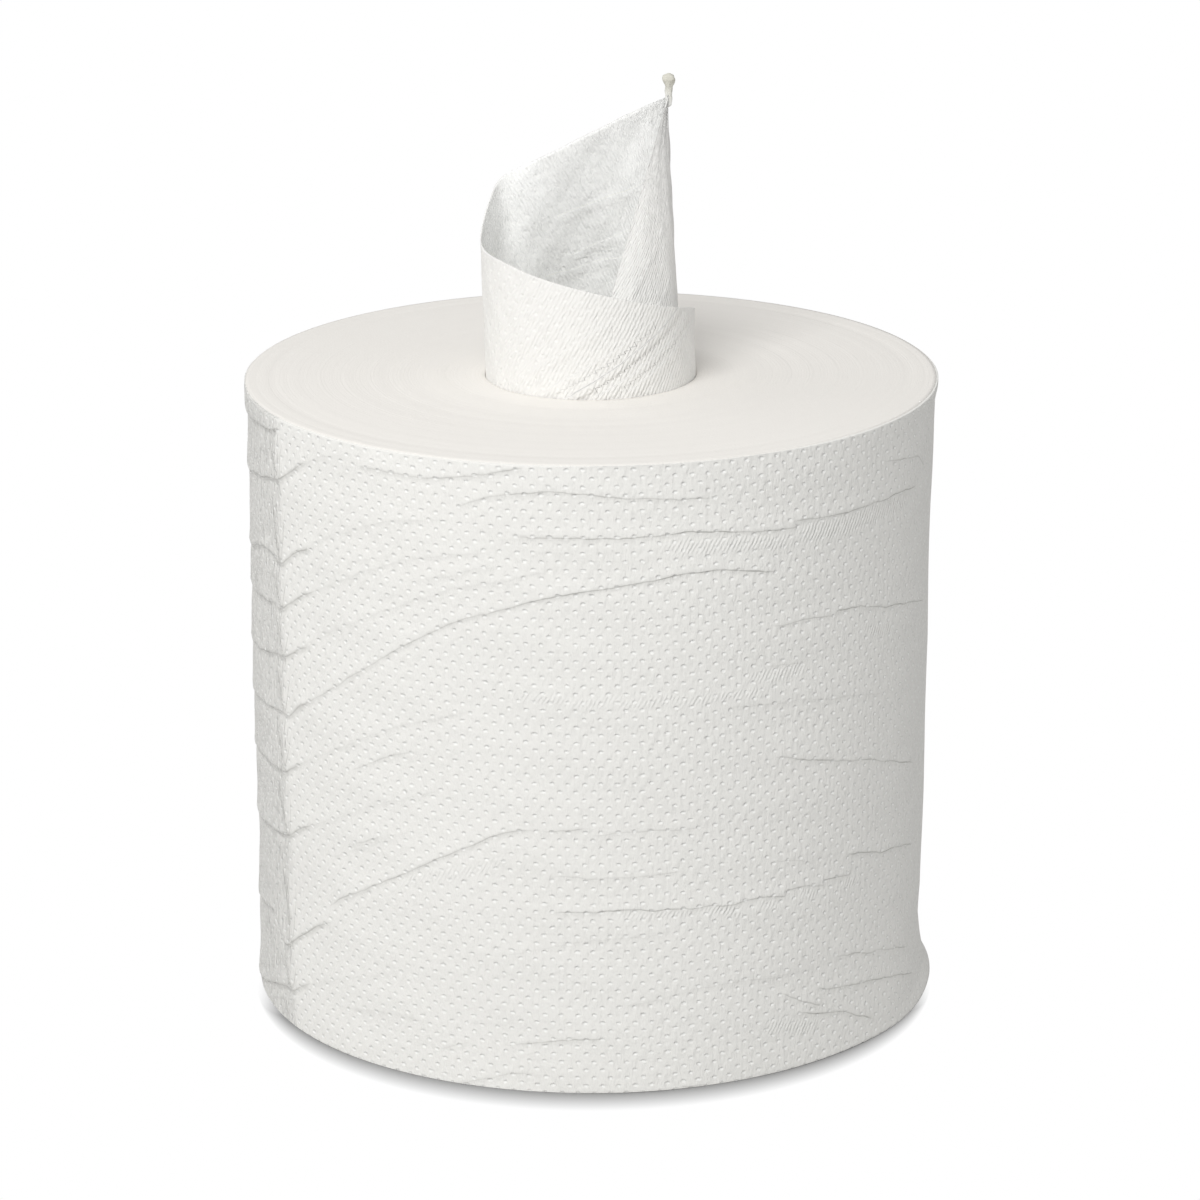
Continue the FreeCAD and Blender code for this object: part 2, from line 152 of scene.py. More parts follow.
# Where the web was stretched under a crease and its dents were drawn into short slanting strokes:
# first angle, last angle, mm above the floor there and there, half height of the patch (mm), strength.
HATCHED = (
    (33, 66, 181.0, 180.0, 4.2, 0.75),
    (10, 35, 181.8, 179.8, 3.0, 0.60),
    (-14, 30, 132.8, 131.8, 2.0, 0.50),
    (24, 38, 136.4, 136.8, 2.6, 0.65),
    (48, 60, 143.8, 138.6, 2.4, 0.70),
    (-34, -12, 65.0, 80.0, 3.0, 0.45),
    (1, 18, 60.9, 60.0, 1.6, 0.45),
    (17, 26, 59.8, 59.0, 2.2, 0.80),
    (26, 32, 60.0, 58.6, 2.4, 0.80),
    (34, 41, 60.2, 58.0, 2.4, 0.80),
    (43, 51, 59.8, 57.0, 2.5, 0.80),
    (27, 42, 17.4, 11.4, 3.4, 0.60),
    (48, 66, 25.6, 17.8, 2.4, 0.45),
    (100, 138, 136.0, 132.0, 3.6, 0.70),
    (108, 168, 68.0, 66.0, 3.6, 0.70),
    (156, 200, 163.0, 164.0, 3.6, 0.70),
    (192, 238, 110.0, 113.0, 3.6, 0.70),
)

# The foot of the wrap stands away at the right: angle, share of the full way out.
LIP = ((38, 0.0), (50, 0.4), (60, 0.85), (72, 1.0), (84, 1.0), (96, 0.9), (108, 0.6), (122, 0.25), (134, 0.0))

# The right side is pressed in, and the left side a little: mm above the floor, mm out.
WAIST = (
    (0, -0.2),
    (5, -2.3),
    (12, -3.2),
    (22, -3.7),
    (33, -2.8),
    (74, -2.5),
    (120, -1.7),
    (167, -1.8),
    (195, -1.3),
    (203, -1.0),
    (207.5, 0.0),
)
LEFT_WAIST = (
    (0, -0.3),
    (10, -0.9),
    (60, -1.1),
    (104, -0.65),
    (140, -1.35),
    (177, -1.0),
    (198, -1.0),
    (207.5, -0.3),
)

# The pulled sheet: upright lines at these foot angles, with how far inside the gap to the bore
# each foot stands (mm) and the share of the way from the tip to the corner where its head is.
STRAIGHT_EDGE = (
    (-5, 6.9, 0.000),
    (20, 6.2, 0.012),
    (56, 5.3, 0.024),
    (80, 4.7, 0.036),
    (104, 4.2, 0.052),
    (128, 3.8, 0.090),
    (150, 3.4, 0.165),
    (170, 3.0, 0.290),
    (188, 2.6, 0.460),
    (205, 2.1, 0.640),
    (221, 1.5, 0.820),
    (236, 0.9, 1.000),
)
# The corner: angle, mm inside the bore's radius, share of the rise.
CORNER = (236.5, 1.9, 0.648)
# Past the corner: foot angle, foot inset, head angle, head inset (mm), share of the rise.
WOUND_EDGE = (
    (248, 0.4, 247, 0.4, 0.588),
    (263, 0.1, 263, -0.3, 0.490),
    (282, 0.0, 281, 0.3, 0.451),
    (304, 0.0, 303, 1.3, 0.438),
    (330, 0.0, 330, 1.4, 0.408),
    (358, 0.0, 358, 0.4, 0.371),
    (386, 0.0, 386, 0.8, 0.325),
    (414, 0.0, 414, 1.3, 0.279),
    (442, 0.0, 442, 1.6, 0.236),
    (470, 0.1, 470, 1.5, 0.180),
    (498, 0.0, 498, 1.2, 0.115),
    (524, -0.4, 524, 0.7, 0.045),
    (546, -1.2, 546, -0.1, -0.030),
    (564, -3.0, 564, -1.8, -0.110),
)
# Height of its lower edge inside the bore, at its first and last line, as a share of the roll's height.
PULLED_BOTTOM = (0.525, 0.010)
# Creases pressed into the wound front: strength, angle and mm above the top face at each end.
PRESSED = (
    (1.00, 347, 0, 420, 28),
    (0.35, 335, 2, 398, 25),
    (0.50, 362, 0, 427, 23),
    (0.40, 378, 1, 432, 19),
    (0.25, 318, 4, 370, 26),
    (0.22, 298, 6, 338, 27),
    (0.40, 20, 12, 62, 34),
    (0.40, 12, 30, 50, 52),
    (0.55, 124, 52, 196, 34),
    (0.45, 130, 64, 206, 48),
    (0.40, 150, 36, 214, 26),
)

# The twisted neck and its knob: share of the way up, mm from its middle line.
TIP_SHAPE = ((0.0, 0.3), (0.045, 0.8), (0.225, 1.0), (0.42, 1.15), (0.60, 1.2),
             (0.71, 1.6), (0.83, 2.15), (0.93, 1.75), (1.0, 0.3))
TIP_FOOT = 9.0  # mm under the sheet's rise, where the neck starts
TIP_LENGTH = 11.1  # mm
NECK_JOIN = 4.9  # mm under the sheet's rise, where its straight edge runs into the neck
NECK_RADIUS = 1.15  # mm

# What the embossed material reads at each vertex: way to the nearest crease in mm, how strongly that
# crease shows (its step and its painted shade), how far the dents are drawn into strokes, and how far the
# paper is gathered in streaks.
LAYERS = ("crease_way", "crease_show", "hatched", "streaked")

# Soft boxes: name, place, side in m.
LAMPS = (
    ("key_lamp", (-0.60, -1.436, 1.66), 1.3),
    ("fill_lamp", (1.6, -1.0, 0.9), 1.2),
    ("edge_lamp", (-1.7, 0.5, 0.8), 1.2),
)
LENS_SHIFT = (0.0064, 0.0607)


# ---------------------------------------------------------------- settings


class RollSizes(bpy.types.PropertyGroup):
    """Sizes of the roll itself"""

    height: bpy.props.FloatProperty(
        name="Height", description="Width of the web", default=0.2095, unit="LENGTH"
    )
    radius: bpy.props.FloatProperty(
        name="Radius", description="Outer radius of the wound roll", default=0.1145, unit="LENGTH"
    )
    bore: bpy.props.FloatProperty(
        name="Bore radius", description="Radius of the hole in the middle", default=0.0357, unit="LENGTH"
    )
    rim: bpy.props.FloatProperty(
        name="Rim rounding", description="How round the edges of the wrap are", default=0.0003, unit="LENGTH"
    )


class WrapSettings(bpy.types.PropertyGroup):
    """Relief of the outer wrap"""

    pucker: bpy.props.FloatProperty(
        name="Pucker", description="How far the puckers stand out", default=0.00062, unit="LENGTH"
    )
    crease: bpy.props.FloatProperty(
        name="Crease", description="Factor on the height of the long creases", default=0.45, subtype="FACTOR"
    )
    dent: bpy.props.FloatProperty(
        name="Dent", description="Depth of the embossed dents", default=0.00030, unit="LENGTH", precision=5
    )
    lip: bpy.props.FloatProperty(
        name="Lip", description="How far the foot stands away", default=0.0015, unit="LENGTH"
    )


class PulledSettings(bpy.types.PropertyGroup):
    """The sheet that is pulled out of the bore"""

    rise: bpy.props.FloatProperty(
        name="Rise", description="Tip above the top face", default=0.096, unit="LENGTH"
    )
    gap: bpy.props.FloatProperty(
        name="Gap", description="Between the sheet and the bore", default=0.0012, unit="LENGTH"
    )
    tip: bpy.props.FloatVectorProperty(
        name="Tip",
        description="Where the tip is, right of and behind the axis",
        default=(0.0259, 0.0080),
        size=2,
        unit="LENGTH",
    )
    thickness: bpy.props.FloatProperty(
        name="Thickness",
        description="Thickness of the two plies",
        default=0.00040,
        unit="LENGTH",
        precision=5,
    )


class TowelColours(bpy.types.PropertyGroup):
    """Colours as sRGB hex values"""

    wall: bpy.props.StringProperty(
        name="Wrap", description="Bleached towel, seen on its embossed side", default="#EEEDE9"
    )
    ends: bpy.props.StringProperty(
        name="Ends", description="Cut edges of the wound turns", default="#EFECE7"
    )
    # Painted highlight: the dents are drawn lighter than the wrap, so that they read as bright spots of
    # light.
    dents: bpy.props.StringProperty(
        name="Dents", description="Tissue pressed hard and white by the steel roll", default="#FBFBF8"
    )
    # Painted light: the light coming through the pulled sheet is a faint glow, an emission in its material.
    pulled: bpy.props.StringProperty(
        name="Pulled sheet", description="A single sheet, with light coming through it", default="#EEEDEA"
    )
    # Painted light: the back of the sheet is drawn whiter than its front, to lift the shaded inside of the
    # cone.
    inside: bpy.props.StringProperty(
        name="Inside", description="Smooth back of the pulled sheet", default="#FEFEFC"
    )
    # Painted shade: the tip is drawn greyer than the rest of the sheet, for the shade at the cone's edge.
    tip: bpy.props.StringProperty(name="Tip", description="Twisted tight and handled", default="#D3D1C6")
    # Painted shade: the colour painted along the line of each crease and pleat edge.
    shade: bpy.props.StringProperty(
        name="Creases", description="Deep inside a crease", default="#8E8D84"
    )
    floor: bpy.props.StringProperty(name="Floor", description="Floor and background", default="#FFFFFF")


class StudioSettings(bpy.types.PropertyGroup):
    """Light and camera"""

    sky: bpy.props.FloatProperty(name="Sky", description="Strength of the soft light all round", default=0.51)
    key: bpy.props.FloatProperty(
        name="Key", description="Lamp above the front left", default=29.0, unit="POWER"
    )
    fill: bpy.props.FloatProperty(name="Fill", description="Lamp at the right", default=1.0, unit="POWER")
    edge: bpy.props.FloatProperty(name="Edge", description="Lamp behind the left", default=3.4, unit="POWER")
    elevation: bpy.props.FloatProperty(
        name="Elevation",
        description="How far the camera looks down",
        default=math.radians(18.16),
        subtype="ANGLE",
    )
    distance: bpy.props.FloatProperty(
        name="Distance", description="Camera to the roll's middle", default=1.60375, unit="LENGTH"
    )
    roll: bpy.props.FloatProperty(
        name="Roll", description="Tilt of the picture", default=math.radians(0.287), subtype="ANGLE"
    )
    lens: bpy.props.FloatProperty(
        name="Lens", description="Focal length in mm", default=142.58, unit="CAMERA"
    )


class TowelRollSettings(bpy.types.PropertyGroup):
    """Everything a user would change"""

    sizes: bpy.props.PointerProperty(type=RollSizes)
    wrap: bpy.props.PointerProperty(type=WrapSettings)
    pulled: bpy.props.PointerProperty(type=PulledSettings)
    colours: bpy.props.PointerProperty(type=TowelColours)
    studio: bpy.props.PointerProperty(type=StudioSettings)


# ---------------------------------------------------------------- shared helpers


def linear(hex_colour):
    """An sRGB hex value as linear red, green, blue and alpha."""
    parts = [int(hex_colour[i : i + 2], 16) / 255 for i in (1, 3, 5)]
    return [c / 12.92 if c <= 0.04045 else ((c + 0.055) / 1.055) ** 2.4 for c in parts] + [1.0]


def add_node(tree, kind, inputs=None, **settings):
    """A node with its settings. An input is a plain value, an output, or a node for its first output."""
    node = tree.nodes.new(kind)
    for name, value in settings.items():
        setattr(node, name, value)
    for key, value in (inputs or {}).items():
        if isinstance(value, bpy.types.Node):
            value = value.outputs[0]
        if isinstance(value, bpy.types.NodeSocket):
            tree.links.new(value, node.inputs[key])
        else:
            node.inputs[key].default_value = value
    return node


def new_material(name):
    """An empty material and its tree."""
    material = bpy.data.materials.new(name)
    material.use_nodes = True
    material.node_tree.nodes.clear()
    return material, material.node_tree


def smooth_step(value, low, high):
    """0 at low, 1 at high and smooth between."""
    part = np.clip((value - low) / (high - low), 0, 1)
    return part * part * (3 - 2 * part)


def wander(places, pitch, seed):
    """Seeded uneven line between -1 and 1, with a new value every pitch."""
    values = np.random.default_rng(seed).uniform(-1, 1, 4096)
    at = np.asarray(places) / pitch + 2048
    low = np.floor(at).astype(int)
    part = at - low
    part = part * part * (3 - 2 * part)
    return values[low % 4096] * (1 - part) + values[(low + 1) % 4096] * part


def start_clean():
    """Leaves edit mode and selects nothing."""
    if bpy.context.object and bpy.context.object.mode != "OBJECT":
        bpy.ops.object.mode_set(mode="OBJECT")
    bpy.ops.object.select_all(action="DESELECT")


def finish_piece(piece, name, *materials):
    """Names a piece, gives it its materials and hangs it on the CAD body."""
    piece.name = name
    piece.data.name = name
    piece.data.materials.clear()
    for material in materials:
        piece.data.materials.append(material)
    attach(piece, "root")
    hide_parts("towel_roll")


def give_layers(mesh, layers):
    """The numbers at each vertex that the embossed material reads."""
    for name, values in zip(LAYERS, layers):
        layer = mesh.attributes.new(name, "FLOAT", "POINT")
        layer.data.foreach_set("value", np.ascontiguousarray(values, dtype=np.float32).ravel())


def grid_piece(columns, rows):
    """A flat grid of columns by rows, with the column and row number of each of its vertices."""
    start_clean()
    bpy.ops.mesh.primitive_grid_add(x_subdivisions=columns, y_subdivisions=rows, size=2, location=(0, 0, 0))
    piece = bpy.context.object
    flat = np.empty(len(piece.data.vertices) * 3, dtype=np.float32)
    piece.data.vertices.foreach_get("co", flat)
    flat = flat.reshape(-1, 3)
    column = np.rint((flat[:, 0] + 1) / 2 * columns).astype(int)
    row = np.rint((flat[:, 1] + 1) / 2 * rows).astype(int)
    return piece, column, row


def shape_grid(piece, column, row, points, normals, flat_u, flat_v):
    """Rolls the flat grid into place. Its UV map holds the flat web in millimetres."""
    mesh = piece.data
    mesh.vertices.foreach_set("co", (points[row, column] * MM).astype(np.float32).ravel())
    corner = np.empty(len(mesh.loops), dtype=np.int32)
    mesh.loops.foreach_get("vertex_index", corner)
    spread = np.stack([flat_u[row, column][corner], flat_v[row, column][corner]], 1)
    mesh.uv_layers[0].data.foreach_set("uv", spread.astype(np.float32).ravel())
    mesh.polygons.foreach_set("use_smooth", np.ones(len(mesh.polygons), dtype=bool))
    mesh.update()
    if normals is not None:
        mesh.normals_split_custom_set_from_vertices(normals[row, column].astype(np.float32))


def grid_normals(points):
    """Unit normals of a grid of points from its neighbours."""
    along = np.gradient(points, axis=1)
    up = np.gradient(points, axis=0)
    normal = np.cross(along, up)
    return normal / np.linalg.norm(normal, axis=-1, keepdims=True)


# ---------------------------------------------------------------- materials


def dent_lattice(tree, place):
    """1 in the middle of each embossed dent and 0 between them, from a place on the flat web in mm."""
    warp = add_node(tree, "ShaderNodeTexNoise", {"Vector": place, "Scale": 0.16, "Detail": 1.0})
    warp = warp.outputs["Color"]
    off = add_node(tree, "ShaderNodeVectorMath", {0: warp, 1: (0.5, 0.5, 0.5)}, operation="SUBTRACT")
    moved = add_node(
        tree, "ShaderNodeVectorMath", {0: off, 1: (1.6, 0.9, 0.0), 2: place}, operation="MULTIPLY_ADD"
    )
    reach = []
    for shift in (0.0, 0.5):
        cell = add_node(
            tree,
            "ShaderNodeVectorMath",
            {0: moved, 1: (1 / DENT_PITCH, 1 / DENT_ROWS, 0.0), 2: (shift, shift, 0.0)},
            operation="MULTIPLY_ADD",
        )
        part = add_node(tree, "ShaderNodeVectorMath", {0: cell}, operation="FRACTION")
        centred = add_node(tree, "ShaderNodeVectorMath", {0: part, 1: (0.5, 0.5, 0.0)}, operation="SUBTRACT")
        scaled = add_node(
            tree,
            "ShaderNodeVectorMath",
            {0: centred, 1: (2 * DENT_PITCH / DENT_WIDTH, 2 * DENT_ROWS / DENT_HEIGHT, 0.0)},
            operation="MULTIPLY",
        )
        reach.append(add_node(tree, "ShaderNodeVectorMath", {0: scaled}, operation="LENGTH").outputs["Value"])
    nearest = add_node(tree, "ShaderNodeMath", {0: reach[0], 1: reach[1]}, operation="MINIMUM")
    return add_node(
        tree,
        "ShaderNodeMapRange",
        {"Value": nearest, "From Min": 0.25, "From Max": 1.05, "To Min": 1.0, "To Max": 0.0},
        interpolation_type="SMOOTHSTEP",
    )


def crepe(tree, place, scale):
    """Fine crosswise crepe of dry-creped tissue. The scale is its folds on a mm along and up the web."""
    stretched = add_node(tree, "ShaderNodeVectorMath", {0: place, 1: scale}, operation="MULTIPLY")
    return add_node(tree, "ShaderNodeTexNoise", {"Vector": stretched, "Scale": 1.0, "Detail": 3.0})


def relief_of(tree, *layers):
    """The height in mm of some layers, each given as its pattern, how far it shows and its depth in mm."""
    height = 0.0
    for pattern, share, depth in layers:
        shown = add_node(tree, "ShaderNodeMath", {0: pattern, 1: share}, operation="MULTIPLY")
        height = add_node(tree, "ShaderNodeMath", {0: shown, 1: depth, 2: height}, operation="MULTIPLY_ADD")
    return height


def towel_surface(tree, height, colour, through=0.0):
    """Matt tissue over a relief in mm. Through is a faint glow, painted light from an emission, that stands
    in for light coming through a single sheet.
    """
    bump = add_node(tree, "ShaderNodeBump", {"Height": height, "Distance": MM, "Strength": 1.0})
    surface = add_node(
        tree,
        "ShaderNodeBsdfPrincipled",
        {
            "Base Color": colour,
            "Roughness": 0.95,
            "Specular IOR Level": 0.15,
            "Normal": bump,
            "Emission Color": (1.0, 1.0, 1.0, 1.0),
            "Emission Strength": through,
        },
    )
    add_node(tree, "ShaderNodeOutputMaterial", {"Surface": surface})


def embossed_towel(
    name, colours, base, dents, strokes=0.46, fine=0.13, steps=0.16, darkest=0.62, through=0.0
):
    """Bleached two-ply tissue, dry-creped and embossed between steel rolls: matt, soft and slightly warm.

    Light catches the lower side of each dent, and each dent is also painted lighter, a painted highlight.
    Where the web was stretched the dents are pulled out into slanting strokes, and a crease is a thin line of
    painted shade with its upper side standing proud.
    The depths of dents, strokes and fine crepe and the height of a crease's step are in mm.
    """
    material, tree = new_material(name)
    place = add_node(tree, "ShaderNodeUVMap", uv_map="UVMap")
    way, show, hatched, streaked = [
        add_node(tree, "ShaderNodeAttribute", attribute_name=layer).outputs["Fac"] for layer in LAYERS
    ]
    hollow = dent_lattice(tree, place)
    left = add_node(
        tree,
        "ShaderNodeMapRange",
        {"Value": hatched, "From Min": 0.1, "From Max": 0.9, "To Min": 1.0, "To Max": 0.3},
    )
    # Strokes lean 28 degrees from upright and are about 1.3 mm apart.
    slanted = {"Vector": place, "Rotation": (0.0, 0.0, math.radians(-62))}
    slanted = add_node(tree, "ShaderNodeMapping", slanted)
    lines = add_node(
        tree,
        "ShaderNodeTexWave",
        {"Vector": slanted, "Scale": 0.314 / 1.3, "Distortion": 2.2, "Detail": 1.5, "Detail Scale": 1.2},
        bands_direction="Y",
    ).outputs["Fac"]
    broken = add_node(tree, "ShaderNodeTexNoise", {"Vector": place, "Scale": 0.35, "Detail": 1.0})
    broken = add_node(tree, "ShaderNodeMath", {0: lines, 1: broken}, operation="MULTIPLY")
    # Streaks beside the tail stand nearly upright, ten times as long as they are wide.
    upright = {"Vector": place, "Rotation": (0.0, 0.0, math.radians(-8)), "Scale": (1.3, 0.13, 1.0)}
    upright = add_node(tree, "ShaderNodeMapping", upright)
    streaks = add_node(tree, "ShaderNodeTexNoise", {"Vector": upright, "Scale": 1.0, "Detail": 2.5})
    step = add_node(
        tree,
        "ShaderNodeMapRange",
        {"Value": way, "From Min": -0.45, "From Max": 0.25},
        interpolation_type="SMOOTHSTEP",
    )
    height = relief_of(
        tree,
        (hollow, left, -dents),
        (broken, hatched, strokes),
        (streaks, streaked, 1.9),
        (step, show, steps),
        (crepe(tree, place, (0.55, 0.25, 1.0)), 1.0, 0.55),
        (crepe(tree, place, (2.2, 1.1, 1.0)), 1.0, fine),
    )

    # A crease's dark line, painted shade, lies just under its step.
    from_line = add_node(tree, "ShaderNodeMath", {0: way, 1: 0.15}, operation="ADD")
    from_line = add_node(tree, "ShaderNodeMath", {0: from_line}, operation="ABSOLUTE")
    line = add_node(
        tree,
        "ShaderNodeMapRange",
        {"Value": from_line, "From Min": 0.04, "From Max": 0.33, "To Min": darkest, "To Max": 0.0},
        interpolation_type="SMOOTHSTEP",
    )
    # Painted light: each dent is mixed lighter, a painted highlight, and each crease's line darker, painted
    # shade.
    colour = linear(base)
    for pattern, share, painted_light_tint in ((hollow, left, colours.dents), (line, show, colours.shade)):
        amount = add_node(tree, "ShaderNodeMath", {0: pattern, 1: share}, operation="MULTIPLY")
        colour = add_node(
            tree, "ShaderNodeMix", {"Factor": amount, "A": colour, "B": linear(painted_light_tint)}, data_type="RGBA"
        ).outputs["Result"]
    towel_surface(tree, height, colour, through)
    return material


def wound_edges(colours):
    """Cut edges of some two hundred wound turns of tissue: matt, warm, with fine rings round the bore."""
    material, tree = new_material("wound_cut_tissue")
    place = add_node(tree, "ShaderNodeTexCoord").outputs["Object"]
    flat = add_node(tree, "ShaderNodeVectorMath", {0: place, 1: (1000.0, 1000.0, 0.0)}, operation="MULTIPLY")
    radius = add_node(tree, "ShaderNodeVectorMath", {0: flat}, operation="LENGTH").outputs["Value"]
    # Turns are about 0.4 mm apart and are drawn about twice as coarse, to show at all.
    turns, bands = [
        add_node(
            tree, "ShaderNodeTexNoise", {"W": radius, "Scale": scale, "Detail": detail}, noise_dimensions="1D"
        )
        for scale, detail in ((1.1, 3.0), (0.12, 1.0))
    ]
    patches, fibres = [
        add_node(tree, "ShaderNodeTexNoise", {"Vector": flat, "Scale": scale, "Detail": detail})
        for scale, detail in ((0.05, 1.0), (1.4, 3.0))
    ]
    height = relief_of(tree, (turns, patches, 0.20), (bands, 1.0, 0.4), (fibres, 1.0, 0.10))
    towel_surface(tree, height, linear(colours.ends))
    return material


def seen_by_eye(tree):
    """1 on rays that the eye sends, straight, mirrored or through something clear, and 0 on bounced light."""
    path = add_node(tree, "ShaderNodeLightPath").outputs
    seen = path["Is Camera Ray"]
    for ray in ("Is Glossy Ray", "Is Transmission Ray"):
        seen = add_node(tree, "ShaderNodeMath", {0: seen, 1: path[ray]}, operation="MAXIMUM")
    return seen


def white_floor(settings):
    """Seamless white paper sweep. Near the roll it keeps the roll's shadow, drawn darker to the camera as a
    painted shadow, and away from the roll it is plain white.

    As in the photo, the shadow is a narrow strip before the roll, its shape painted by a mask. It fades out
    14 mm from the wrap, and towards the roll's sides.
    """
    material, tree = new_material("white_paper_sweep")
    white = linear(settings.colours.floor)
    radius = settings.sizes.radius
    seen = seen_by_eye(tree)
    place = add_node(tree, "ShaderNodeTexCoord").outputs["Object"]
    across, depth = add_node(tree, "ShaderNodeSeparateXYZ", {0: place}).outputs[:2]
    square = add_node(tree, "ShaderNodeMath", {0: across, 1: across}, operation="MULTIPLY")
    room = add_node(tree, "ShaderNodeMath", {0: radius**2, 1: square}, operation="SUBTRACT")
    room = add_node(tree, "ShaderNodeMath", {0: room, 1: 0.0}, operation="MAXIMUM")
    foot = add_node(tree, "ShaderNodeMath", {0: room}, operation="SQRT")
    before = add_node(tree, "ShaderNodeMath", {0: depth, 1: foot}, operation="ADD")
    outward = add_node(tree, "ShaderNodeMath", {0: across}, operation="ABSOLUTE")
    far = 0.0
    for value, first, last, easing in (
        (before, 0.0, -0.0140, "LINEAR"),
        (outward, radius - 0.0125, radius + 0.0005, "SMOOTHSTEP"),
        (depth, -0.030, -0.005, "LINEAR"),
    ):
        share = add_node(
            tree,
            "ShaderNodeMapRange",
            {"Value": value, "From Min": first, "From Max": last},
            interpolation_type=easing,
        )
        far = add_node(tree, "ShaderNodeMath", {0: far, 1: share}, operation="MAXIMUM")
    # Painted shadow: the camera sees the paper near the roll at half the brightness of the paper that throws
    # light on the roll.
    painted_shadow_tone = add_node(tree, "ShaderNodeMapRange", {"Value": seen, "To Min": 0.64, "To Max": 0.32})
    near = add_node(tree, "ShaderNodeBsdfDiffuse", {"Color": painted_shadow_tone})
    plain = add_node(tree, "ShaderNodeEmission", {"Color": white, "Strength": 1.0})
    amount = add_node(tree, "ShaderNodeMath", {0: far, 1: seen}, operation="MULTIPLY")
    mixed = add_node(tree, "ShaderNodeMixShader", {0: amount, 1: near, 2: plain})
    add_node(tree, "ShaderNodeOutputMaterial", {"Surface": mixed})
    return material


# ---------------------------------------------------------------- outer wrap


def fold_course(points, angle, radius, seed):
    """How high a fold runs at each angle, how strongly it shows there, and the cosine of its slope."""
    turns = np.array([p[0] for p in points], float)
    heights = np.array([p[1] for p in points], float)
    near = (angle - turns.mean() + 180) % 360 - 180 + turns.mean()
    course = np.interp(near, turns, heights)
    # An eased corner at each measured point, and a slightly ragged line as torn plies leave it.
    ease = sum(np.interp(near + d, turns, heights) for d in (-1.2, -0.6, 0.6, 1.2))
    course = (course + ease) / 5
    way = near * math.pi / 180 * radius
    course = course + 0.34 * wander(way, 6.5, seed) + 0.18 * wander(way, 2.1, seed + 1)
    slope = np.gradient(course, way)
    inside = smooth_step(near, turns[0], turns[0] + 3.0) * (1 - smooth_step(near, turns[-1] - 3.0, turns[-1]))
    return course, inside, 1 / np.sqrt(1 + slope**2)


def add_folds(relief, way, show, rank, angle, height, settings):
    """Puckers, creases and sweeps: each is a step up at its line, with a small hollow under it."""
    radius = settings.sizes.radius / MM
    # A crease's painted shade and its step are made stronger on the side away from the key lamp.
    away = 0.45 + 0.55 * smooth_step((angle + 180) % 360 - 180, -28, 12)
    factor = settings.wrap.crease
    # A fold's third number is how dark its line of painted shade is.
    folds = [(settings.wrap.pucker / MM, 9.0, 0.62, points) for points in PUCKERS]
    folds += [(factor * proud, fade, 0.05 + 1.2 * proud, points) for proud, fade, points in CREASES]
    folds += [(factor * proud, fade, 0.16, points) for proud, fade, points in SWEEPS]
    for number, (proud, fade, dark, points) in enumerate(folds):
        course, inside, cosine = fold_course(points, angle, radius, 10 * number + 5)
        above = (height[:, None] - course[None, :]) * cosine[None, :]
        step = np.where(above > 0, np.exp(-np.abs(above) / fade), np.exp(-np.abs(above) / 0.45))
        hollow = np.where(above < 0, -0.35 * np.exp(-(((above + 1.6) / 1.3) ** 2)), 0.0)
        relief += proud * inside[None, :] * (step + hollow)
        place = np.abs(above) + 8 * (1 - inside[None, :])
        closer = place < rank
        ragged = 0.7 + 0.3 * wander(angle * radius * math.pi / 180, 6.0, 10 * number + 7)
        if number >= len(PUCKERS):
            ragged = ragged * away
        strength = dark * inside[None, :] * (1 - smooth_step(np.abs(above), 2.0, 4.5)) * ragged[None, :]
        rank[closer] = place[closer]
        way[closer] = above[closer]
        show[closer] = strength[closer]


def add_pleats(relief, way, show, rank, turned, height, radius):
    """Standing pleats along the glued tail, between one pucker and the next."""
    apex = sorted(min(points, key=lambda point: abs(point[0] - SEAM))[1] for points in PUCKERS)
    for number, (low, high) in enumerate(zip(apex, apex[1:])):
        middle = low + 0.45 * (high - low)
        half = min(9.0, 0.45 * (high - low))
        lens = np.clip(1 - ((height[:, None] - middle) / half) ** 2, 0, 1)
        centre = SEAM - 0.6 + 0.5 * wander(height, 9.0, 300 + number)[:, None]
        across = (turned[None, :] - centre) * radius * math.pi / 180
        relief += 0.55 * lens * np.exp(-(((across + 1.2) / 2.2) ** 2))
        # Its edges: mm aside at the top, share of the way up, darkness of their painted shade.
        for spread, rise, dark in ((-8.5, 0.9, 0.75), (3.4, 0.7, 0.5), (-3.6, 0.7, 0.5)):
            climb = (height[:, None] - low - 0.6) / (rise * (high - low))
            edge = across - spread * np.clip(climb, 0, 1) ** 0.8
            edge = edge * (1 if spread < 0 else -1)
            inside = smooth_step(climb, 0, 0.08) * (1 - smooth_step(climb, 0.6, 1))
            closer = (inside > 0) & (np.abs(edge) < np.minimum(rank, 2.0))
            strength = dark * inside * (1 - smooth_step(np.abs(edge), 0.9, 2.0))
            rank[closer] = np.abs(edge)[closer]
            way[closer] = edge[closer]
            show[closer] = strength[closer]


def stretched_patches(angle, height):
    """How far the dents are drawn into strokes, between 0 and 1."""
    hatched = np.zeros((len(height), len(angle)))
    for number, (first, last, low, high, half, strength) in enumerate(HATCHED):
        middle = (first + last) / 2
        near = (angle - middle + 180) % 360 - 180 + middle
        level = np.interp(near, (first, last), (low, high)) + 0.8 * wander(near, 3.0, 500 + number)
        ends = smooth_step(near, first, first + 4) * (1 - smooth_step(near, last - 4, last))
        patch = 1 - smooth_step(np.abs(height[:, None] - level[None, :]), 0.3 * half, 1.15 * half)
        hatched = np.maximum(hatched, strength * patch * ends[None, :])
    return hatched


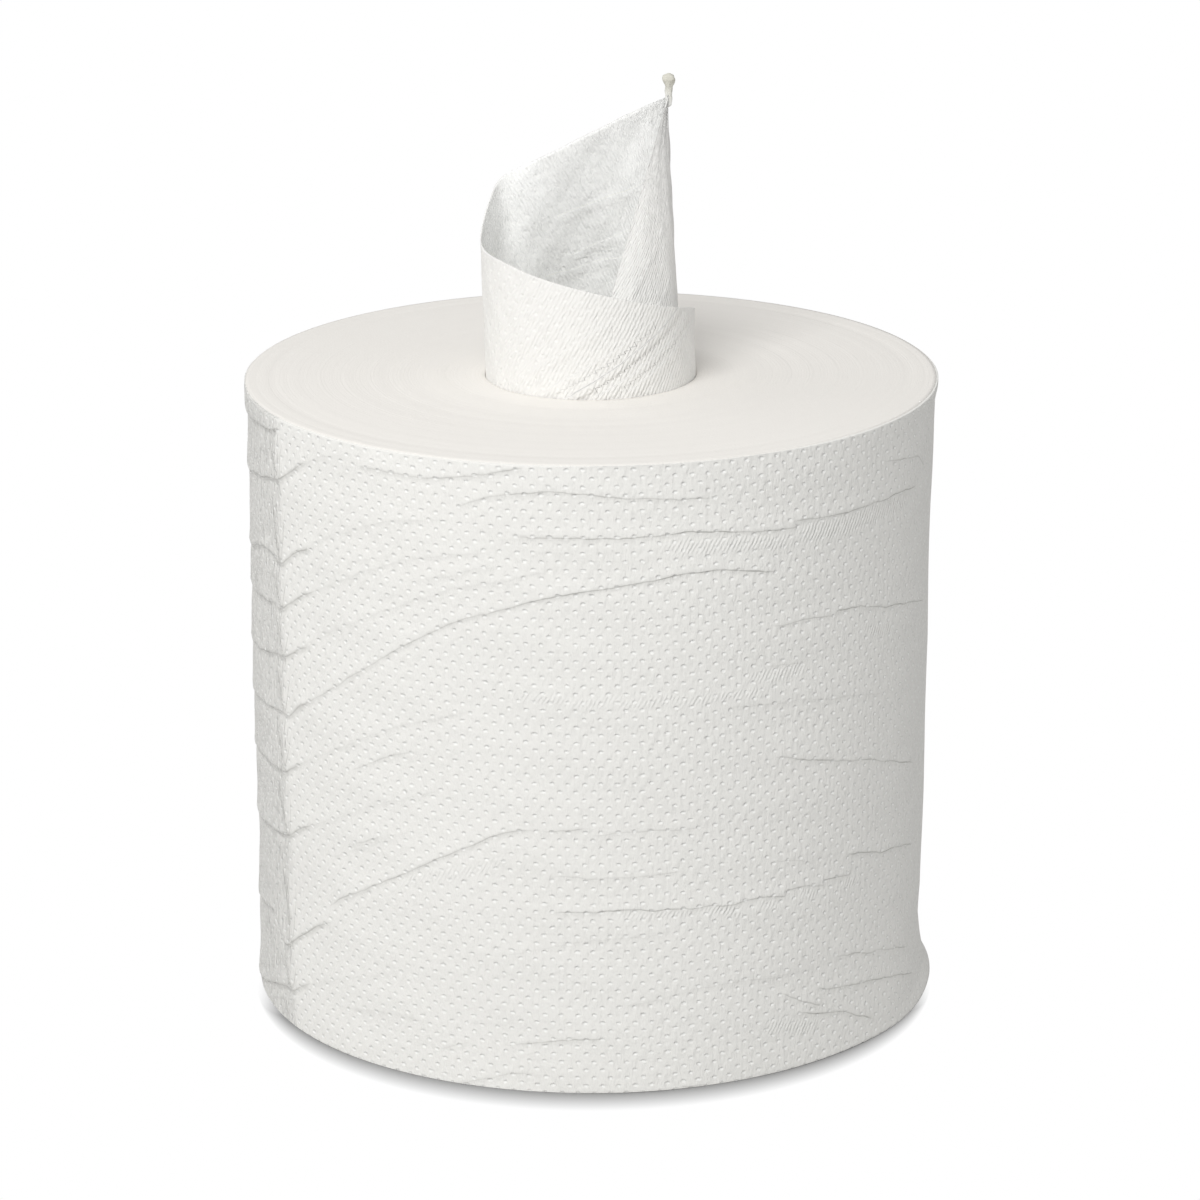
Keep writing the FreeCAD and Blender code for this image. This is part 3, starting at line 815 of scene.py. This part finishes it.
def wall_relief(angle, height, settings):
    """Relief of the wrap in mm over a grid of angles and heights, with the layers that the material reads."""
    turned = (angle + 180) % 360 - 180
    relief = np.zeros((len(height), len(angle)))
    way = np.full_like(relief, 9.0)
    show = np.zeros_like(relief)
    rank = np.full_like(relief, 99.0)
    add_folds(relief, way, show, rank, angle, height, settings)
    add_pleats(relief, way, show, rank, turned, height, settings.sizes.radius / MM)
    hatched = stretched_patches(angle, height)

    # Long soft waves of a wrap that isn't wound quite tight.
    spin = np.radians(angle)[None, :]
    level = height[:, None]
    relief += 0.22 * np.sin(3 * spin + 0.021 * level) * np.sin(0.031 * level + 1.3)
    relief += 0.14 * np.sin(7 * spin - 0.05 * level + 0.7) + 0.10 * np.sin(13 * spin + 0.11 * level)
    relief += 0.10 * np.sin(0.35 * level + 4 * np.sin(2 * spin)) * np.sin(5 * spin + 2)

    right = smooth_step(turned, 58, 80) * (1 - smooth_step(turned, 108, 130))
    relief += right[None, :] * np.interp(level, *zip(*WAIST))
    left = smooth_step(turned, -130, -100) * (1 - smooth_step(turned, -76, -58))
    relief += left[None, :] * np.interp(level, *zip(*LEFT_WAIST))
    flare = np.interp(turned, *zip(*LIP), left=0, right=0)[None, :]
    lip_height = 34.0 * (0.35 + 0.65 * flare)
    relief += settings.wrap.lip / MM * flare * np.clip(1 - level / lip_height, 0, 1) ** 1.4

    band = smooth_step(turned, -112, -88) * (1 - smooth_step(turned, -62, -58))
    streaked = np.broadcast_to(band[None, :], relief.shape)
    return np.maximum(relief, DEEPEST), (way, show, hatched, streaked)


def wrap_rows(sizes):
    """The wrap's section from rim to rim: mm inside the wall, mm up, share of the relief."""
    rim = sizes.rim / MM
    high = sizes.height / MM - RIM_BELOW_FACE
    bend = []
    for row in range(RIM_ROWS):
        turn = math.pi / 2 * (1 - row / RIM_ROWS)
        inset = rim * (1 - math.cos(turn)) + (RIM_REACH if row == 0 else 0.0)
        bend.append((inset, rim * (1 - math.sin(turn)), row / RIM_ROWS))
    rows = bend + [(0.0, level, 1.0) for level in np.linspace(rim, high - rim, WALL_ROWS + 1)]
    rows += [(inset, high - level, share) for inset, level, share in reversed(bend)]
    return np.array(rows).T


def make_web(name, first_angle, settings, material):
    """A quarter of the outer wrap, rolled from a flat web and creased."""
    inset, level, share = wrap_rows(settings.sizes)
    radius = settings.sizes.radius / MM
    # One column more on each side gives the normals at the edges.
    angle = first_angle + WEB_SPAN / WEB_COLUMNS * np.arange(-1, WEB_COLUMNS + 2)
    relief, layers = wall_relief(angle, level, settings)
    out = radius - inset[:, None] + relief * share[:, None]
    turn = np.radians(angle)[None, :]
    flat_u = np.broadcast_to(radius * turn, out.shape)
    flat_v = np.broadcast_to(level[:, None], out.shape)
    points = np.stack([out * np.sin(turn), -out * np.cos(turn), flat_v], -1)
    normals = grid_normals(points)
    keep = slice(1, WEB_COLUMNS + 2)
    piece, column, row = grid_piece(WEB_COLUMNS, len(level) - 1)
    shape_grid(piece, column, row, points[:, keep], normals[:, keep], flat_u[:, keep], flat_v[:, keep])
    give_layers(piece.data, [values[:, keep][row, column] for values in layers])
    finish_piece(piece, name, material)


class TOWEL_OT_outer_wrap(bpy.types.Operator):
    """Roll the four webs of the outer wrap round the roll"""

    bl_idname = "towel.outer_wrap"
    bl_label = "Outer wrap"

    def execute(self, context):
        settings = context.scene.towel_roll
        material = embossed_towel(
            "embossed_bleached_tissue", settings.colours, settings.colours.wall, settings.wrap.dent / MM
        )
        for name, first_angle in WEBS:
            make_web(name, first_angle, settings, material)
        return {"FINISHED"}


# ---------------------------------------------------------------- wound turns


class TOWEL_OT_wound_turns(bpy.types.Operator):
    """Spin the wound turns: both cut ends and the wall of the bore"""

    bl_idname = "towel.wound_turns"
    bl_label = "Wound turns"

    def execute(self, context):
        settings = context.scene.towel_roll
        sizes = settings.sizes
        outer = sizes.radius - 0.0006
        rings = np.linspace(sizes.bore - 0.0006, outer, 64)
        uneven = 0.00010 * wander(rings / MM, 2.4, 71) + 0.00018 * wander(rings / MM, 17.0, 72)
        profile = [(outer, 0.0006)]
        profile += [(r, 0.0002 + 0.6 * abs(d)) for r, d in zip(reversed(rings), reversed(uneven))]
        walls = np.linspace(0.0012, sizes.height - 0.0008, 30)
        flare = 0.0009 * smooth_step(walls, sizes.height - 0.012, sizes.height)
        profile += list(zip(sizes.bore - flare, walls))
        profile += [(r, sizes.height - 0.00015 + d) for r, d in zip(rings, uneven)]
        profile += [(outer, sizes.height - 0.0008)]

        start_clean()
        bpy.ops.mesh.primitive_plane_add(size=0.01)
        piece = bpy.context.object
        bpy.ops.object.mode_set(mode="EDIT")
        bpy.ops.mesh.delete(type="VERT")
        bpy.ops.object.mode_set(mode="OBJECT")
        piece.data.vertices.add(len(profile))
        piece.data.vertices.foreach_set("co", np.array([(r, 0.0, z) for r, z in profile], np.float32).ravel())
        piece.data.edges.add(len(profile) - 1)
        links = np.array([(i, i + 1) for i in range(len(profile) - 1)], np.int32)
        piece.data.edges.foreach_set("vertices", links.ravel())
        piece.data.update()
        bpy.ops.object.mode_set(mode="EDIT")
        bpy.ops.mesh.select_all(action="SELECT")
        bpy.ops.mesh.spin(steps=240, angle=2 * math.pi, center=(0, 0, 0), axis=(0, 0, 1))
        bpy.ops.mesh.select_all(action="SELECT")
        bpy.ops.mesh.remove_doubles(threshold=0.00001)
        bpy.ops.mesh.normals_make_consistent(inside=False)
        bpy.ops.mesh.faces_shade_smooth()
        bpy.ops.object.mode_set(mode="OBJECT")
        finish_piece(piece, "wound_turns", wound_edges(settings.colours))
        return {"FINISHED"}


# ---------------------------------------------------------------- pulled sheet


def polar(angle, radius, height):
    """A point at that angle and radius round the axis, in mm."""
    turn = math.radians(angle)
    return np.array([radius * math.sin(turn), -radius * math.cos(turn), height])


def pulled_lines(settings):
    """The upright lines of the pulled sheet in mm: head, foot and lower end of each."""
    bore = settings.sizes.bore / MM
    face = settings.sizes.height / MM
    rise = settings.pulled.rise / MM
    tip = settings.pulled.tip
    neck_foot = np.array([tip[0] / MM, tip[1] / MM, face + rise - NECK_JOIN])
    corner = polar(CORNER[0], bore - CORNER[1], face + CORNER[2] * rise)
    lines = []
    for angle, inset, share in STRAIGHT_EDGE:
        start = neck_foot + polar(angle, NECK_RADIUS, 0)
        lines.append((angle, inset, start + (corner - start) * share))
    for angle, inset, head_angle, head_inset, share in WOUND_EDGE:
        lines.append((angle, inset, polar(head_angle, bore - head_inset, face + share * rise)))
    first_angle, last_angle = lines[0][0], lines[-1][0]
    upright = []
    for angle, inset, head in lines:
        foot = polar(angle, bore - settings.pulled.gap / MM - inset, min(face, head[2] - 6.0))
        along = (angle - first_angle) / (last_angle - first_angle)
        low = face * (PULLED_BOTTOM[0] + along * (PULLED_BOTTOM[1] - PULLED_BOTTOM[0]))
        upright.append((head, foot, np.array([foot[0], foot[1], low])))
    return np.array(upright)


def smooth_between(lines, pieces):
    """More lines on smooth curves through the given ones."""
    last = len(lines) - 1
    dense = []
    for number in range(last):
        before, start, end, after = [lines[max(0, min(last, number + d))] for d in (-1, 0, 1, 2)]
        leave, arrive = (end - before) / 2, (after - start) / 2
        for piece in range(pieces):
            t = piece / pieces
            dense.append(
                start * (2 * t**3 - 3 * t**2 + 1)
                + leave * (t**3 - 2 * t**2 + t)
                + end * (3 * t**2 - 2 * t**3)
                + arrive * (t**3 - t**2)
            )
    dense.append(lines[-1])
    return np.array(dense)


class TOWEL_OT_pulled_sheet(bpy.types.Operator):
    """Wind the pulled sheet into its cone, with its twisted tip"""

    bl_idname = "towel.pulled_sheet"
    bl_label = "Pulled sheet"

    def execute(self, context):
        settings = context.scene.towel_roll
        lines = smooth_between(pulled_lines(settings), 9)
        upper_rows, lower_rows = 70, 30
        rows = []
        for row in range(upper_rows + lower_rows + 1):
            if row <= upper_rows:
                part = row / upper_rows
                rows.append(lines[:, 0] * (1 - part) + lines[:, 1] * part)
            else:
                part = (row - upper_rows) / lower_rows
                rows.append(lines[:, 1] * (1 - part) + lines[:, 2] * part)
        points = np.array(rows)[::-1].copy()
        for _ in range(12):
            points[1:-1] = (points[:-2] + 2 * points[1:-1] + points[2:]) / 4
        around = np.linalg.norm(np.diff(lines[:, 1], axis=0), axis=1)
        way_round = np.concatenate([[0], np.cumsum(around)])
        flat_u = np.broadcast_to(way_round[None, :], points.shape[:2])
        flat_v = points[:, :, 2] - settings.sizes.height / MM

        # Only the single layer behind the cone is free to ripple.
        angle = np.interp(way_round, way_round[::9], [row[0] for row in STRAIGHT_EDGE + WOUND_EDGE])
        free = smooth_step(angle, 70, 110) * (1 - smooth_step(angle, 225, 250))
        lift = smooth_step(flat_v, 6, 30) * (1 - smooth_step(flat_v, 70, 92))
        ripple = 0.7 * np.sin(0.16 * flat_u + 0.10 * flat_v + 1.5 * np.sin(0.07 * flat_v))
        ripple += 0.35 * np.sin(0.33 * flat_u - 0.21 * flat_v + 2.0)
        ripple *= free[None, :] * lift
        ripple += 0.10 * np.sin(0.5 * flat_u + 0.3 * flat_v) * smooth_step(flat_v, -5, 5)
        normals = grid_normals(points)
        points = points + normals * ripple[..., None]

        columns = points.shape[1] - 1
        piece, column, row = grid_piece(columns, points.shape[0] - 1)
        shape_grid(piece, column, row, points, None, flat_u, flat_v)
        pressed, shown = self.pressed_creases(angle, way_round, flat_v)
        drawn = 0.75 + 0.15 * smooth_step(angle, 330, 400)
        drawn = np.broadcast_to(drawn[None, :], flat_v.shape)
        still = np.zeros_like(flat_v)
        give_layers(piece.data, [values[row, column] for values in (pressed, shown, drawn, still)])
        colours = settings.colours
        # Both sides of the pulled sheet glow faintly, painted light from an emission.
        outside = embossed_towel(
            "embossed_tissue_pulled",
            colours,
            colours.pulled,
            settings.wrap.dent / MM,
            strokes=0.32,
            fine=0.16,
            steps=0.75,
            darkest=0.12,
            through=0.03,
        )
        # The back of the sheet is drawn whiter, painted light on the shaded inside of the cone.
        inside = embossed_towel(
            "embossed_tissue_back",
            colours,
            colours.inside,
            0.16,
            strokes=0.4,
            fine=0.34,
            steps=0.40,
            darkest=0.2,
            through=0.035,
        )
        # The twisted tip's grey colour is painted shade.
        twisted = embossed_towel("twisted_tissue", colours, colours.tip, 0.0)
        finish_piece(piece, "pulled_sheet", outside, inside)
        thick = piece.modifiers.new("two_plies", "SOLIDIFY")
        thick.thickness = settings.pulled.thickness
        thick.offset = 0
        thick.material_offset = 1
        bpy.context.view_layer.objects.active = piece
        bpy.ops.object.modifier_apply(modifier=thick.name)
        self.make_tip(settings, twisted)
        return {"FINISHED"}

    def pressed_creases(self, angle, way_round, flat_v):
        """Distance in mm to the nearest crease pressed into the wound front, and how strongly it shows."""
        way = np.full(flat_v.shape, 9.0)
        shown = np.zeros(flat_v.shape)
        for strength, first, low, last, high in PRESSED:
            start = np.array([np.interp(first, angle, way_round), low])
            end = np.array([np.interp(last, angle, way_round), high])
            run = np.linalg.norm(end - start)
            side = (end - start) / run
            from_u = way_round[None, :] - start[0]
            from_v = flat_v - start[1]
            along = from_u * side[0] + from_v * side[1]
            across = from_u * side[1] - from_v * side[0] + 0.2 * wander(along, 4.0, int(first))
            ends = smooth_step(along, -2, 3) * (1 - smooth_step(along, run - 3, run + 2))
            closer = np.abs(across) + 6 * (1 - ends) < np.abs(way)
            way = np.where(closer, across, way)
            fade = 1 - smooth_step(np.abs(across), 1.5, 3.5)
            shown = np.where(closer, strength * ends * fade, shown)
        return way, shown

    def make_tip(self, settings, material):
        """The twisted neck and its knob."""
        tip = settings.pulled.tip
        top = settings.sizes.height + settings.pulled.rise
        start_clean()
        bpy.ops.mesh.primitive_uv_sphere_add(segments=24, ring_count=40, radius=0.001, location=(0, 0, 0))
        piece = bpy.context.object
        mesh = piece.data
        flat = np.empty(len(mesh.vertices) * 3, dtype=np.float32)
        mesh.vertices.foreach_get("co", flat)
        flat = flat.reshape(-1, 3) * 1000
        along = np.clip((flat[:, 2] + 1) / 2, 0, 1)
        turn = np.arctan2(flat[:, 1], flat[:, 0])
        reach = np.interp(along, *zip(*TIP_SHAPE))
        reach = reach * (1 + 0.13 * np.sin(3 * turn + 12 * along) + 0.06 * np.sin(5 * turn - 14 * along))
        level = top / MM - TIP_FOOT + along * TIP_LENGTH
        points = np.stack([tip[0] / MM + reach * np.cos(turn), tip[1] / MM + reach * np.sin(turn), level], 1)
        mesh.vertices.foreach_set("co", (points * MM).astype(np.float32).ravel())
        mesh.polygons.foreach_set("use_smooth", np.ones(len(mesh.polygons), dtype=bool))
        give_layers(mesh, np.zeros((len(LAYERS), len(mesh.vertices))))
        mesh.update()
        finish_piece(piece, "twisted_tip", material)


# ---------------------------------------------------------------- studio


def area_lamp(name, place, size, power):
    """A square soft box that faces the roll."""
    lamp = bpy.data.lights.new(name, "AREA")
    lamp.size = size
    lamp.energy = power
    rig = bpy.data.objects.new(name, lamp)
    bpy.context.collection.objects.link(rig)
    rig.location = place
    rig.rotation_euler = (Vector((0, 0, 0.12)) - Vector(place)).to_track_quat("-Z", "Y").to_euler()


class TOWEL_OT_studio(bpy.types.Operator):
    """Lay the white floor and set the lamps and the camera"""

    bl_idname = "towel.studio"
    bl_label = "Studio"

    def execute(self, context):
        settings = context.scene.towel_roll
        studio = settings.studio
        start_clean()
        bpy.ops.mesh.primitive_plane_add(size=6, location=(0, 0, 0))
        floor = bpy.context.object
        floor.name = "floor"
        floor.data.materials.append(white_floor(settings))

        for (name, place, size), power in zip(LAMPS, (studio.key, studio.fill, studio.edge)):
            area_lamp(name, place, size, power)

        world = bpy.data.worlds.new("white_studio")
        context.scene.world = world
        world.use_nodes = True
        tree = world.node_tree
        tree.nodes.clear()
        strength = {"Value": seen_by_eye(tree), "To Min": studio.sky, "To Max": 1.0}
        strength = add_node(tree, "ShaderNodeMapRange", strength)
        white = linear(settings.colours.floor)
        sky = add_node(tree, "ShaderNodeBackground", {"Color": white, "Strength": strength})
        add_node(tree, "ShaderNodeOutputWorld", {"Surface": sky})

        camera = bpy.data.cameras.new("photo_camera")
        rig = bpy.data.objects.new("photo_camera", camera)
        context.collection.objects.link(rig)
        camera.lens = studio.lens
        camera.sensor_width = 36
        camera.shift_x, camera.shift_y = LENS_SHIFT
        camera.clip_end = 10
        middle = Vector((0, 0, settings.sizes.height / 2))
        away = Vector((0, -math.cos(studio.elevation), math.sin(studio.elevation)))
        aim = Matrix.Rotation(math.pi / 2 - studio.elevation, 4, "X") @ Matrix.Rotation(-studio.roll, 4, "Z")
        rig.matrix_world = Matrix.Translation(middle + away * studio.distance) @ aim
        context.scene.camera = rig
        context.scene.view_settings.view_transform = "Standard"
        return {"FINISHED"}


class TOWEL_PT_pieces(bpy.types.Panel):
    """The roll's settings and the pieces that they make"""

    bl_label = "Towel roll"
    bl_idname = "TOWEL_PT_pieces"
    bl_space_type = "VIEW_3D"
    bl_region_type = "UI"
    bl_category = "Towel Roll"

    def draw(self, context):
        settings = context.scene.towel_roll
        layout = self.layout
        for group in (settings.sizes, settings.wrap, settings.pulled, settings.colours, settings.studio):
            box = layout.box()
            for name in group.__annotations__:
                box.prop(group, name)
        for operator in OPERATORS:
            layout.operator(operator.bl_idname)


OPERATORS = (TOWEL_OT_wound_turns, TOWEL_OT_outer_wrap, TOWEL_OT_pulled_sheet, TOWEL_OT_studio)
CLASSES = (
    RollSizes,
    WrapSettings,
    PulledSettings,
    TowelColours,
    StudioSettings,
    TowelRollSettings,
) + OPERATORS + (TOWEL_PT_pieces,)


def register():
    for item in CLASSES:
        bpy.utils.register_class(item)
    bpy.types.Scene.towel_roll = bpy.props.PointerProperty(type=TowelRollSettings)


def unregister():
    del bpy.types.Scene.towel_roll
    for item in reversed(CLASSES):
        bpy.utils.unregister_class(item)


def main():
    register()
    bpy.ops.towel.wound_turns()
    bpy.ops.towel.outer_wrap()
    bpy.ops.towel.pulled_sheet()
    bpy.ops.towel.studio()


if __name__ == "__main__":
    main()
